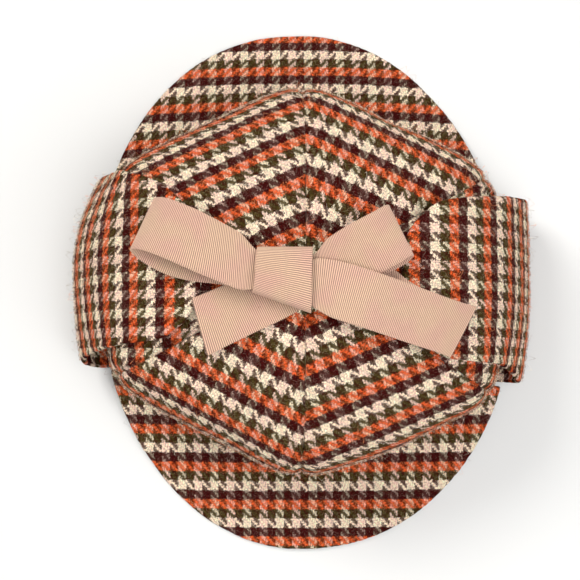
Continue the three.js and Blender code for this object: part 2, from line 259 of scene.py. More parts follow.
def startMaterial(name):
    material = bpy.data.materials.new(name)
    material.use_nodes = True
    finish = material.node_tree.nodes["Principled BSDF"]
    return material, finish, Wire(material.node_tree, None)


surfaceSockets = {"roughness": "Roughness", "specular": "Specular IOR Level", "sheen": "Sheen Weight"}


def endMaterial(material, finish, look, colour, bump=None):
    material.node_tree.links.new(colour.socket, finish.inputs["Base Color"])
    if bump:
        material.node_tree.links.new(bump.socket, finish.inputs["Normal"])
    for name in surfaceSockets.keys() & look.keys():
        finish.inputs[surfaceSockets[name]].default_value = look[name]
    return material


def bandRamp(wire, place, colours):
    stops = [(index / len(colours), colour) for index, colour in enumerate(colours)]
    return wire.node("ShaderNodeValToRGB", {"stops": ("CONSTANT", stops)}, [place])


# a number for each weft band; a ramp holds none below nought, so they are lifted on the way through
def bandNumber(wire, place, numbers, lift=0):
    ramp = bandRamp(wire, place, [(number + lift, number + lift, number + lift, 1.0) for number in numbers])
    return ramp - lift if lift else ramp


# how high a yarn stands: round across, and dipping where it goes under at the ends of its float
def yarnHump(across, along):
    roundness = (1 - (across * 2 - 1) ** 2).math("MAXIMUM", 0.0) ** tweed["roundness"]
    rise = (1 - (along * 2 - 1) ** 2).math("MAXIMUM", 0.0)
    return roundness * (rise * tweed["floatRise"] + (1 - tweed["floatRise"]))


def strayThreads(wire, threads):
    pulls = []
    for stray in (tweed["wander"], tweed["fray"]):
        noise = noiseAt(wire, threads, stray["scale"], stray["detail"], 1)
        centred = vectorMath(wire, "SUBTRACT", [noise, (0.5, 0.5, 0.5)])
        pulls.append(vectorMath(wire, "SCALE", {0: centred, "Scale": stray["reach"]}))
    for pull in pulls:
        threads = vectorMath(wire, "ADD", [threads, pull])
    return threads


def makeTweed():
    material, finish, wire = startMaterial("houndstooth tweed")
    threads = strayThreads(wire, wire.node("ShaderNodeUVMap", {"uv_map": "weave"}))
    warp = wire.node("ShaderNodeSeparateXYZ", {}, [threads], "X")
    weft = warp.also("Y")
    warpCount = warp.math("FLOOR")
    weftCount = weft.math("FLOOR")
    acrossWarp = warp - warpCount
    acrossWeft = weft - weftCount
    step = (warpCount + weftCount) % 4
    warpPlace = ((warpCount + 0.5) / 16) % 1
    weftPlace = ((weftCount + 0.5) / 16) % 1
    # the warp lies on top for two threads of each four, less what the weft spreads over it
    swell = bandNumber(wire, weftPlace, tweed["swell"], lift=1)
    warpOnTop = (step + acrossWarp - 1).math("ABSOLUTE").math("LESS_THAN", 1 - swell)
    warpHump = yarnHump(acrossWarp, (step + acrossWeft) / 2)
    weftHump = yarnHump(acrossWeft, (step + acrossWarp) / 2 - 1)
    height = warpHump * warpOnTop + weftHump * (1 - warpOnTop)
    # flecks of the heathered wool, drawn out along each yarn
    long, short = tweed["fleckStretch"]
    hairs = []
    for stretch in ((long, short, 1.0), (short, long, 1.0)):
        drawn = vectorMath(wire, "MULTIPLY", [threads, stretch])
        hairs.append(wire.node("ShaderNodeTexNoise", {}, {
            "Vector": drawn, "Scale": 1.0, "Detail": 2.0, "Roughness": 0.7}))
    # the weft's loose fibres hide part of the warp
    isPale = (((warpCount + 0.5) / 8) % 1).math("LESS_THAN", 0.5)
    cover = bandNumber(wire, weftPlace, tweed["cover"])
    cover = cover + isPale * bandNumber(wire, weftPlace, tweed["paleCover"])
    hidden = wire.node("ShaderNodeClamp", {}, [(hairs[1] - 0.5) * 3 + cover])
    showing = warpOnTop * (1 - hidden) + (1 - warpOnTop) * tweed["bleed"]
    warpDye = bandRamp(wire, warpPlace, tweed["warpYarns"])
    weftDye = bandRamp(wire, weftPlace, tweed["weftYarns"])
    colour = mixColours(wire, showing, weftDye, warpDye)
    flecks = hairs[0] * warpOnTop + hairs[1] * (1 - warpOnTop)
    flecks = spreadBetween(wire, flecks, 0.3, 0.7, 1 - tweed["heather"], 1 + tweed["heather"])
    # the flecks are the wool's own tone; gapShade is painted shade, darkening the low places between the
    # yarns and where they dip under
    shade = flecks * (height * (1 - tweed["gapShade"]) + tweed["gapShade"]) * tweed["gain"]
    bump = wire.node("ShaderNodeBump", {}, {
        "Height": height + flecks * tweed["fleckBump"], "Distance": tweed["bump"], "Strength": 1.0})
    return endMaterial(material, finish, tweed, shadeColour(wire, colour, shade), bump)


ribbonFinish = {
    "base": dye(208, 172, 144),
    "rosy": dye(208, 165, 144),
    # painted shade: the dark colour laid into the grooves between the ribs
    "groove": dye(44, 24, 17),
    "width": 25,          # mm
    "ribPitch": 0.9,      # mm
    "ribFullness": 0.85,  # lower leaves a narrower band of painted shade in the grooves between ribs
    "warpPitch": 0.34,    # mm, of the fine threads that run along it
    "warpTone": 0.03,
    "mottle": {"scale": 0.35, "detail": 3.0, "depth": 0.06},
    "patches": {"scale": 0.06, "detail": 1.0},
    "bump": 0.0001,
    "roughness": 0.62,
    "specular": 0.35,
    "sheen": 0.15,
}


def makeGrosgrain():
    material, finish, wire = startMaterial("grosgrain ribbon")
    place = wire.node("ShaderNodeUVMap", {"uv_map": "weave"})
    across = wire.node("ShaderNodeSeparateXYZ", {}, [place], "X")
    along = across.also("Y")
    rib = (along * (math.pi / ribbonFinish["ribPitch"])).math("SINE").math("ABSOLUTE")
    fineWarp = (across * (2 * math.pi / ribbonFinish["warpPitch"])).math("SINE") * 0.5 + 0.5
    mottle = ribbonFinish["mottle"]
    spots = noiseAt(wire, place, mottle["scale"], mottle["detail"])
    patches = noiseAt(wire, place, ribbonFinish["patches"]["scale"], ribbonFinish["patches"]["detail"])
    patches = spreadBetween(wire, patches, 0.4, 0.6, 0.0, 1.0)
    base = mixColours(wire, patches, ribbonFinish["base"], ribbonFinish["rosy"])
    # the grooves between the ribs are darkened with painted shade
    colour = mixColours(wire, rib ** ribbonFinish["ribFullness"], ribbonFinish["groove"], base)
    tone = spots * mottle["depth"] * 2 + (1 - mottle["depth"]) + fineWarp * ribbonFinish["warpTone"]
    bump = wire.node("ShaderNodeBump", {}, {
        "Height": rib * 0.8 + fineWarp * 0.2, "Distance": ribbonFinish["bump"], "Strength": 0.8})
    return endMaterial(material, finish, ribbonFinish, shadeColour(wire, colour, tone), bump)


tweedMaterial = makeTweed()
ribbonMaterial = makeGrosgrain()


# Smooth curve through rows of numbers. The result gives the numbers at any place from 0 to 1.
def smoothCurve(rows):
    points = np.array(rows, float)
    ends = np.vstack([2 * points[0] - points[1], points, 2 * points[-1] - points[-2]])
    steps = np.sqrt(np.linalg.norm(np.diff(ends, axis=0), axis=1))
    steps[steps < 0.01] = 1.0

    def at(place):
        where = np.clip(np.asarray(place, float), 0, 1) * (len(points) - 1)
        span = np.minimum(where.astype(int), len(points) - 2)
        part = (where - span)[..., None]
        p0, p1, p2, p3 = (ends[span + shift] for shift in range(4))
        d0, d1, d2 = (steps[span + shift][..., None] for shift in range(3))
        leave = ((p1 - p0) / d0 - (p2 - p0) / (d0 + d1) + (p2 - p1) / d1) * d1
        arrive = ((p2 - p1) / d1 - (p3 - p1) / (d1 + d2) + (p3 - p2) / d2) * d1
        square = -3 * p1 + 3 * p2 - 2 * leave - arrive
        cube = 2 * p1 - 2 * p2 + leave + arrive
        return p1 + leave * part + square * part**2 + cube * part**3

    return at


# Length of a smooth curve and the place on it of each share of that length.
def evenPlaces(curve, samples=1200):
    places = np.linspace(0, 1, samples)
    run = np.concatenate([[0], np.cumsum(np.linalg.norm(np.diff(curve(places), axis=0), axis=1))])
    return run[-1], lambda share: np.interp(np.asarray(share) * run[-1], run, places)


def smoothStep(value, low, high):
    part = np.clip((value - low) / (high - low), 0, 1)
    return part * part * (3 - 2 * part)


# The crown, in millimetres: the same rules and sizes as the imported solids.
crown = {
    "height": 112, "foot": 15, "widest": 50, "centreY": 1.5, "leanX": 1.8, "leanY": -2.2,
    "apexRadius": 1.2, "meanReach": 92, "wall": 2.4,
    "cornerTop": 7, "cornerWidest": 20, "cornerFoot": 10,
    "valley": 1.6, "valleySpread": 5, "swell": 1.4,
    "crease": 1.1, "creaseSpread": 1.3, "seamGap": 0.06, "widestGap": 0.2, "smoothTop": (4, 20),
}
crownPanels = [
    {"node": "crown_gore_back_right", "facing": 26, "reach": 91.6, "warp": 1.0, "weft": 4.0},
    {"node": "crown_gore_right", "facing": 90, "reach": 98.5, "warp": 6.0, "weft": 4.0},
    {"node": "crown_gore_front_right", "facing": 157, "reach": 94, "warp": 2.0, "weft": 4.0},
    {"node": "crown_gore_front_left", "facing": 208, "reach": 90.5, "warp": 9.0, "weft": 4.0},
    {"node": "crown_gore_left", "facing": 270, "reach": 97, "warp": 3.0, "weft": 4.0},
    {"node": "crown_gore_back_left", "facing": 334.4, "reach": 91.6, "warp": 12.0, "weft": 4.0},
]
# from the top down: share of the mean reach, height
crownStations = [
    (0.25, 111), (0.5, 107.6), (0.7, 98), (0.88, 85.5), (0.965, 71),
    (1, crown["widest"]), (0.985, 33), (0.95, crown["foot"]),
]
crownProfile = smoothCurve(
    [(crown["apexRadius"], crown["height"])]
    + [(share * crown["meanReach"], height) for share, height in crownStations]
)
crownPlace = evenPlaces(crownProfile)[1]
crownDents = [
    {"compass": 206, "height": 74, "depth": 2.2, "spread": 17},
    {"compass": 152, "height": 66, "depth": -1.6, "spread": 20},
    {"compass": 335, "height": 80, "depth": 1.8, "spread": 16},
    {"compass": 28, "height": 66, "depth": 1.5, "spread": 15},
    {"compass": 180, "height": 40, "depth": 1.6, "spread": 14},
    {"compass": 5, "height": 36, "depth": 1.4, "spread": 14},
]
threadPitch = {"warp": 1.09, "weft": 1.32}   # mm from thread to thread


def crownBody(compass, down):
    station = crownProfile(crownPlace(np.clip(down, 0, 1)))
    height = station[..., 1]
    top, widest, foot = crown["cornerTop"], crown["cornerWidest"], crown["cornerFoot"]
    above = smoothStep(height, crown["widest"], crown["height"])
    below = smoothStep(height, crown["foot"], crown["widest"])
    sharpAbove = widest + (top - widest) * above
    sharpBelow = foot + (widest - foot) * below
    power = np.where(height > crown["widest"], sharpAbove, sharpBelow)   # of the corners between panels
    total = 0
    for panel in crownPanels:
        towards = np.maximum(0, np.cos(np.radians(compass - panel["facing"])))
        total = total + (towards / panel["reach"]) ** power
    radius = station[..., 0] / crown["meanReach"] * total ** (-1 / power)
    x = radius * np.sin(np.radians(compass)) + above * crown["leanX"]
    y = radius * np.cos(np.radians(compass)) + above * crown["leanY"] + crown["centreY"]
    return np.stack([x, y, height + 0 * x], axis=-1)


# the place down the crown where a test first holds, by halving
def findDown(isPast, shape, halvings=22):
    low = np.zeros(shape)
    high = np.ones(shape)
    for _ in range(halvings):
        middle = (low + high) / 2
        past = isPast(middle)
        high = np.where(past, middle, high)
        low = np.where(past, low, middle)
    return low


def crownAtHeight(compass, height):
    compass = np.asarray(compass, float)
    down = findDown(lambda place: crownBody(compass, place)[..., 2] < height, compass.shape)
    return crownBody(compass, down)


# height of the crown's top side over a place
def crownTop(x, y):
    compass = np.degrees(np.arctan2(x - crown["leanX"] / 2, y - crown["centreY"] - crown["leanY"] / 2))
    distance = np.hypot(x, y)

    def isPast(down):
        point = crownBody(compass, down)
        return (np.hypot(point[..., 0], point[..., 1]) > distance) | (point[..., 2] < crown["widest"])

    return crownBody(compass, findDown(isPast, compass.shape))[..., 2]


# where the flat sides of two panels cross
def seamCompass(first, second):
    a = math.radians(first["facing"])
    b = math.radians(second["facing"])
    determinant = math.sin(a) * math.cos(b) - math.cos(a) * math.sin(b)
    x = (first["reach"] * math.cos(b) - second["reach"] * math.cos(a)) / determinant
    y = (second["reach"] * math.sin(a) - first["reach"] * math.sin(b)) / determinant
    return math.degrees(math.atan2(x, y))


def wrapAngle(angle):
    return (angle + 540) % 360 - 180


def crownDent(point, compass):
    depth = 0
    for dent in crownDents:
        around = np.radians(wrapAngle(compass - dent["compass"])) * crown["meanReach"]
        away = np.hypot(around, point[..., 2] - dent["height"]) / dent["spread"]
        depth = depth + dent["depth"] * np.exp(-away * away)
    return depth


def unit(vectors):
    return vectors / np.maximum(np.linalg.norm(vectors, axis=-1, keepdims=True), 1e-9)


def slopeNormal(surface, across, along, step=0.002):
    sideways = surface(np.minimum(across + step, 1), along) - surface(np.maximum(across - step, 0), along)
    lengthways = surface(across, np.minimum(along + step, 1)) - surface(across, np.maximum(along - step, 0))
    return unit(np.cross(sideways, lengthways))


# Distances along the cloth of a grid: across from its middle column, and down from its first row.
def gridRuns(points):
    sideways = np.linalg.norm(np.diff(points, axis=1), axis=-1)
    across = np.concatenate([np.zeros((len(points), 1)), np.cumsum(sideways, axis=1)], axis=1)
    middle = points.shape[1] // 2
    across = across - across[:, middle:middle + 1]
    lengthways = np.linalg.norm(np.diff(points[:, middle], axis=0), axis=-1)
    down = np.concatenate([[0], np.cumsum(lengthways)])
    return across, np.repeat(down[:, None], points.shape[1], axis=1)


# A closed sheet between an outer and an inner grid of points, in millimetres, with rounded edges.
# 'threads' is the place of each point in the cloth, which becomes the piece's own UV map.
def sheetMesh(name, outer, inner, threads, rounding=0.0, rimSteps=4):
    rows, columns = outer.shape[:2]
    ring = [(0, c) for c in range(columns)] + [(r, columns - 1) for r in range(1, rows)]
    ring += [(rows - 1, c) for c in range(columns - 2, -1, -1)] + [(r, 0) for r in range(rows - 2, 0, -1)]
    ring = np.array(ring)
    r, c = ring[:, 0], ring[:, 1]
    inward = np.stack([np.clip(r, 1, rows - 2), np.clip(c, 1, columns - 2)], axis=1)
    top = outer[r, c]
    low = inner[r, c]
    middle = (top + low) / 2
    half = (top - low) / 2
    rowIn, columnIn = inward.T
    leave = (outer[r, c] + inner[r, c] - outer[rowIn, columnIn] - inner[rowIn, columnIn]) / 2
    spacing = np.maximum(np.linalg.norm(leave, axis=1, keepdims=True), 1e-6)
    threadStep = (threads[r, c] - threads[rowIn, columnIn]) / spacing
    reach = np.linalg.norm(half, axis=1, keepdims=True) * rounding
    vertices = [outer.reshape(-1, 3), inner.reshape(-1, 3)]
    places = [threads.reshape(-1, 2), threads.reshape(-1, 2)]
    base = rows * columns
    loops = [r * columns + c]
    for step in range(1, rimSteps):
        turn = math.pi * step / rimSteps
        vertices.append(middle + half * math.cos(turn) + unit(leave) * reach * math.sin(turn))
        places.append(threads[r, c] + threadStep * reach * turn)
        loops.append(2 * base + (step - 1) * len(ring) + np.arange(len(ring)))
    loops.append(base + r * columns + c)
    faces = []
    grid = np.arange(base).reshape(rows, columns)
    a, b, d, e = (part.ravel() for part in (grid[:-1, :-1], grid[:-1, 1:], grid[1:, 1:], grid[1:, :-1]))
    faces.append(np.stack([a, b, d, e], axis=1))
    faces.append(np.stack([e, d, b, a], axis=1) + base)
    for upper, lower in zip(loops[:-1], loops[1:]):
        faces.append(np.stack([np.roll(upper, -1), upper, lower, np.roll(lower, -1)], axis=1))
    return meshObject(name, np.vstack(vertices) * mm, np.vstack(faces), np.vstack(places), len(a))


def meshObject(name, vertices, faces, places, outerFaces=0):
    mesh = bpy.data.meshes.new(name)
    mesh.from_pydata(vertices.tolist(), [], faces.tolist())
    layer = mesh.uv_layers.new(name="weave")
    corners = np.empty(len(mesh.loops), dtype=np.int32)
    mesh.loops.foreach_get("vertex_index", corners)
    layer.data.foreach_set("uv", places[corners].astype(np.float32).ravel())
    shown = mesh.attributes.new("outside", "BOOLEAN", "FACE")
    shown.data.foreach_set("value", np.arange(len(faces)) < outerFaces)
    mesh.shade_smooth()
    piece = bpy.data.objects.new(name, mesh)
    show(piece)
    return piece


# A new geometry node tree with named inputs, and a wire to start from.
def startTree(name, inputs):
    tree = bpy.data.node_groups.new(name, "GeometryNodeTree")
    tree.interface.new_socket("Geometry", in_out="INPUT", socket_type="NodeSocketGeometry")
    for label, kind in inputs.items():
        tree.interface.new_socket(label, in_out="INPUT", socket_type=kind)
    tree.interface.new_socket("Geometry", in_out="OUTPUT", socket_type="NodeSocketGeometry")
    entry = tree.nodes.new("NodeGroupInput")
    return tree, {socket.name: Wire(tree, socket) for socket in entry.outputs if socket.name}


def endTree(tree, geometry):
    leave = tree.nodes.new("NodeGroupOutput")
    tree.links.new(geometry.socket, leave.inputs[0])


# Moves a surface out along its normal and gives it its finish, to end a tree.
def liftSurface(tree, given, offset):
    wire = given["Geometry"]
    lift = vectorMath(wire, "SCALE", {0: wire.node("GeometryNodeInputNormal"), "Scale": offset})
    moved = wire.node("GeometryNodeSetPosition", {}, {"Geometry": wire, "Offset": lift})
    made = wire.node("GeometryNodeRealizeInstances", {}, [moved])
    endTree(tree, wire.node("GeometryNodeSetMaterial", {}, {"Geometry": made, "Material": given["Finish"]}))


def weavePlace(wire):
    return wire.node("GeometryNodeInputNamedAttribute", {"data_type": "FLOAT_VECTOR"}, {"Name": "weave"})


# Runs a tree on a piece and leaves the result as its plain mesh.
def applyTree(piece, tree, values):
    modifier = piece.modifiers.new(tree.name, "NODES")
    modifier.node_group = tree
    for item in tree.interface.items_tree:
        if item.item_type == "SOCKET" and item.in_out == "INPUT" and item.name in values:
            modifier[item.identifier] = values[item.name]
    bpy.context.view_layer.update()
    state = bpy.context.evaluated_depsgraph_get()
    shown = piece.evaluated_get(state)
    mesh = bpy.data.meshes.new_from_object(shown, preserve_all_data_layers=True, depsgraph=state)
    piece.modifiers.remove(modifier)
    old = piece.data
    piece.data = mesh
    bpy.data.meshes.remove(old)
    mesh.name = piece.name
    return piece


# Raises the ribs of a ribbon: rounded ridges across it, at one pitch along it.
def makeRibTree():
    tree, given = startTree("ribbon ribs", {
        "Rib pitch": "NodeSocketFloat", "Rib height": "NodeSocketFloat", "Finish": "NodeSocketMaterial"})
    wire = given["Geometry"]
    along = wire.node("ShaderNodeSeparateXYZ", {}, [weavePlace(wire)], "Y")
    ridge = (along * math.pi / given["Rib pitch"]).math("SINE").math("ABSOLUTE")
    liftSurface(tree, given, (ridge - 0.5) * given["Rib height"])
    return tree


# Rolls the surface of a cloth gently with its yarns, so that its outline isn't ironed flat.
def makeYarnTree():
    tree, given = startTree("cloth yarns", {
        "Yarn relief": "NodeSocketFloat", "Lumps": "NodeSocketFloat", "Finish": "NodeSocketMaterial"})
    wire = given["Geometry"]
    fine = noiseAt(wire, weavePlace(wire), 0.9, 1.0)
    broad = noiseAt(wire, wire.node("GeometryNodeInputPosition"), 60.0, 1.0)
    liftSurface(tree, given, (fine - 0.5) * given["Yarn relief"] + (broad - 0.5) * given["Lumps"])
    return tree


ribTree = makeRibTree()
yarnTree = makeYarnTree()
clothRelief = {"Yarn relief": 0.0007, "Lumps": 0.0012, "Finish": tweedMaterial}


# the area of one side of a sheet, less its edges
def flatArea(piece, edgeShare=0.02):
    areas = np.empty(len(piece.data.polygons))
    piece.data.polygons.foreach_get("area", areas)
    return float(areas.sum()) / 2 * (1 - edgeShare)


def finishCloth(piece, node):
    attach(piece, "root")
    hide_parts(node)


# places from 0 to 1 that crowd towards both ends
def seamSpaced(count, crowding=0.45):
    even = np.linspace(0, 1, count + 1)
    return even * (1 - crowding) + (1 - np.cos(math.pi * even)) / 2 * crowding


# every place of a sheet's grid, as two arrays of one shape
def gridPlaces(across, along):
    return np.broadcast_arrays(across[None, :], along[:, None])


print("crown panels")
panelMesh = {"across": 60, "down": 96, "straightOver": (58, 82)}


def addPanel(index):
    panel = crownPanels[index]
    before = crownPanels[index - 1]
    after = crownPanels[(index + 1) % len(crownPanels)]
    start = panel["facing"] + wrapAngle(seamCompass(before, panel) - panel["facing"])
    end = panel["facing"] + wrapAngle(seamCompass(panel, after) - panel["facing"])

    def place(across, along):
        middle = crownBody((start + end) / 2, along)
        radius = np.hypot(middle[..., 0] - crown["leanX"], middle[..., 1] - crown["centreY"])
        radius = radius + crown["apexRadius"] / 2
        margin = np.degrees(np.arcsin(np.minimum(crown["widestGap"], crown["seamGap"] / 2 / radius)))
        compass = start + margin + (end - start - 2 * margin) * across
        return compass, crownBody(compass, along), radius

    def body(across, along):
        return place(across, along)[1]

    def surface(across, along):
        compass, point, radius = place(across, along)
        toSeam = radius * np.sin(np.radians(np.minimum(compass - start, end - compass)))
        valley = crown["valley"] * np.exp(-((toSeam / crown["valleySpread"]) ** 2))
        crease = crown["crease"] * np.exp(-((toSeam / crown["creaseSpread"]) ** 2))
        ripple = crown["swell"] * np.sin(math.pi * across) * np.sin(math.pi * along)
        relief = (ripple - valley - crease) * smoothStep(radius, *crown["smoothTop"])
        relief = relief - crownDent(point, compass)
        return point + slopeNormal(body, across, along) * relief[..., None]

    across, along = gridPlaces(seamSpaced(panelMesh["across"]), np.linspace(0, 1, panelMesh["down"] + 1))
    outer = surface(across, along)
    normal = slopeNormal(surface, across, along)
    inner = outer - normal * crown["wall"]
    runAcross, runDown = gridRuns(outer)
    # bands run straight across the top of a panel, so that they meet in points at its seams
    facing = math.radians(panel["facing"])
    ahead = outer[..., 0] * math.sin(facing) + outer[..., 1] * math.cos(facing)
    aside = outer[..., 0] * math.cos(facing) - outer[..., 1] * math.sin(facing)
    middle = panelMesh["across"] // 2
    straightDown = np.interp(ahead, np.maximum.accumulate(ahead[:, middle]), runDown[:, middle])
    onTop = smoothStep(outer[..., 2], *panelMesh["straightOver"])
    threads = np.stack([
        (runAcross + (aside - runAcross) * onTop) / threadPitch["warp"] + panel["warp"],
        (runDown + (straightDown - runDown) * onTop) / threadPitch["weft"] + panel["weft"],
    ], axis=-1)
    piece = sheetMesh(panel["node"] + "_cloth", outer, inner, threads)
    applyTree(piece, yarnTree, clothRelief)
    finishCloth(piece, panel["node"])
    flatArea(piece)


for index in range(len(crownPanels)):
    addPanel(index)


print("peaks")
brim = {
    "wall": 3, "seamHeight": 18.5, "tuckUnder": 0.6, "arch": 2,
    "endRise": 9, "riseFrom": 32, "riseTo": 66,   # degrees from the middle of the peak
    "edgeRoundness": 0.9, "slopeStretch": 1.05,   # cloth along the slope for each mm seen from above
    "lumps": 0.0006, "flat": (0.207, 0.093),      # what the crescent is cut from, in metres
}
# each rim is a quarter oval on either side of the way its peak faces: (half-width, fullness)
peaks = [
    {
        "node": "peak_back", "facing": 0, "seamEnds": (-60.6, 63.4), "rimEnds": (-60.5, 65),
        "inward": -1, "warp": -2, "weft": 0, "reach": 141, "sides": ((110, 2.2), (110.5, 2)),
    },
    {
        "node": "peak_front", "facing": 180, "seamEnds": (-59.6, 64.2), "rimEnds": (-63.2, 66),
        "inward": 1, "warp": -4, "weft": -2, "reach": 140.3, "sides": ((115, 2.15), (108, 2)),
    },
]
peakMesh = {"around": 230, "out": 36}


def rimRadius(peak, compass):
    turn = np.radians(compass - peak["facing"])
    halfWidth, fullness = (np.where(turn < 0, *pair) for pair in zip(*peak["sides"]))
    ahead = np.cos(turn) / peak["reach"]
    aside = np.abs(np.sin(turn)) / halfWidth
    return (ahead**fullness + aside**fullness) ** (-1 / fullness)


def addPeak(peak):
    rimInset = brim["wall"] / 2 * brim["edgeRoundness"]

    def surface(across, along):
        seamAngle = peak["facing"] + peak["seamEnds"][0] + np.ptp(peak["seamEnds"]) * across
        rimAngle = peak["facing"] + peak["rimEnds"][0] + np.ptp(peak["rimEnds"]) * across
        compass = seamAngle + (rimAngle - seamAngle) * along
        seam = crownAtHeight(compass, brim["seamHeight"])
        seamRadius = np.hypot(seam[..., 0], seam[..., 1]) - brim["tuckUnder"]
        radius = seamRadius + (rimRadius(peak, compass) - rimInset - seamRadius) * along
        rise = smoothStep(np.abs(compass - peak["facing"]), brim["riseFrom"], brim["riseTo"])
        rimHeight = brim["wall"] + brim["endRise"] * rise
        height = brim["seamHeight"] + (rimHeight - brim["seamHeight"]) * along
        height = height + brim["arch"] * np.sin(math.pi * along)
        direction = np.radians(compass)
        return np.stack([radius * np.sin(direction), radius * np.cos(direction), height], axis=-1)

    across, along = gridPlaces(
        np.linspace(0, 1, peakMesh["around"] + 1), np.linspace(0, 1, peakMesh["out"] + 1))
    outer = surface(across, along)
    inner = outer - slopeNormal(surface, across, along) * brim["wall"]
    inner[..., 2] = np.maximum(inner[..., 2], 0)
    fromRim = (outer[..., 1] * peak["inward"] + peak["reach"]) * brim["slopeStretch"]
    threads = np.stack([
        outer[..., 0] / threadPitch["warp"] + peak["warp"],
        fromRim / threadPitch["weft"] + peak["weft"],
    ], axis=-1)
    piece = sheetMesh(peak["node"] + "_cloth", outer, inner, threads, rounding=brim["edgeRoundness"])
    applyTree(piece, yarnTree, clothRelief | {"Lumps": brim["lumps"]})
    clampToGround(piece)
    finishCloth(piece, peak["node"])
    flatArea(piece)


def clampToGround(piece):
    places = np.empty(len(piece.data.vertices) * 3)
    piece.data.vertices.foreach_get("co", places)
    places = places.reshape(-1, 3)
    places[:, 2] = np.maximum(places[:, 2], 0)
    piece.data.vertices.foreach_set("co", places.ravel())


for peak in peaks:
    addPeak(peak)


print("ear flaps")
flapShape = {
    "wall": 3, "drape": 0.86, "drapeFrom": 78, "drapeTo": 97, "tipLength": 26, "tipShare": 0.22,
    "seamShare": 0.07, "seamHeight": 17,
    "foldRun": 1.35,                        # the tuck at the fold's ends dies out over 1 / this of the flap
    "sideInset": 0.011, "tipInset": 0.008,  # shares that the rounded edges take
    "lumps": 0.0009,
}
# each row of a path: distance out, height, and how far back and front the flap reaches there
earFlaps = [
    {
        "node": "ear_flap_left", "side": -1, "tuckBack": 15, "tuckFront": 5, "warp": 2, "weft": -7,
        "path": [
            (95, 11.5, 48, -42), (104.3, 8, 50, -42), (113, 11, 52, -42), (118.2, 21, 54.5, -41),
            (118.6, 31, 56.5, -39), (115.6, 42, 57, -37), (108.2, 60, 55.5, -35), (97, 79.5, 53.5, -33),
            (80.5, 95.6, 50, -31), (62, 106.6, 42, -29), (47, 112, 36, -27),
        ],
    },
    {
        "node": "ear_flap_right", "side": 1, "tuckBack": 0.5, "tuckFront": 5.5, "warp": 6.0, "weft": 0.0,
        "path": [
            (96, 11.5, 44, -49), (105.5, 8, 45, -49.5), (114.5, 11, 45, -50), (119.2, 21, 45, -50.5),
            (119.4, 31, 45, -50), (116.4, 42, 44, -47.5), (109.5, 60, 42, -44), (99.5, 79.5, 40, -41),
            (83.5, 96, 38, -40), (64, 107.4, 35, -38), (47, 113, 32, -35),
        ],
    },
]
flapMesh = {"across": 66, "along": 104}


def flapSurface(flap):
    outer = smoothCurve([row[:2] for row in flap["path"]])
    edges = smoothCurve([row[2:] for row in flap["path"]])
    length, placeAt = evenPlaces(outer)

    def surface(across, along):
        place = placeAt(along)
        out, height = np.moveaxis(outer(place), -1, 0)
        back, front = np.moveaxis(edges(place), -1, 0)
        middle = (back + front) / 2
        intoTip = np.maximum(0, 1 - (1 - along) * length / flapShape["tipLength"])
        tipOval = np.sqrt(np.maximum(0, 1 - intoTip * intoTip))
        narrowing = flapShape["tipShare"] + (1 - flapShape["tipShare"]) * tipOval
        offset = (across * 2 - 1) * flap["side"]
        y = middle + offset * (back - front) / 2 * narrowing
        tuck = np.where(offset > 0, flap["tuckBack"], flap["tuckFront"])
        foldShare = np.sin(math.pi * np.minimum(1, along * flapShape["foldRun"]))
        x = (out - tuck * offset * offset * foldShare) * flap["side"]
        seam = crownAtHeight(np.degrees(np.arctan2(x, y)), flapShape["seamHeight"])
        atSeam = (1 - smoothStep(along, 0, flapShape["seamShare"]))[..., None]
        drape = flapShape["drape"] * smoothStep(height, flapShape["drapeFrom"], flapShape["drapeTo"])
        sag = drape * (crownTop(x, middle) - crownTop(x, y))
        point = np.stack([x, y, height - sag], axis=-1)
        root = np.stack([seam[..., 0], seam[..., 1], height], axis=-1)
        return point + (root - point) * atSeam

    return surface, length


def addFlap(flap):
    surface, length = flapSurface(flap)
    inset = flapShape["sideInset"]
    across, along = gridPlaces(
        np.linspace(inset, 1 - inset, flapMesh["across"] + 1),
        np.linspace(0, 1 - flapShape["tipInset"], flapMesh["along"] + 1))
    outer = surface(across, along)
    inner = outer - slopeNormal(surface, across, along) * flapShape["wall"]
    runDown = gridRuns(outer)[1]
    threads = np.stack([
        outer[..., 1] / threadPitch["warp"] + flap["warp"],
        (length - runDown) / threadPitch["weft"] + flap["weft"],
    ], axis=-1)
    piece = sheetMesh(flap["node"] + "_cloth", outer, inner, threads, rounding=1.0, rimSteps=6)
    applyTree(piece, yarnTree, clothRelief | {"Lumps": flapShape["lumps"]})
    finishCloth(piece, flap["node"])
    flatArea(piece)


for flap in earFlaps:
    addFlap(flap)


print("bow")
ribbonMesh = {
    "across": 12, "acrossCut": 38, "perRib": 4, "wall": 0.55, "edgeRoundness": 0.8,
    "ribHeight": 0.00022, "scallop": 0.2, "teeth": 0.7,
}
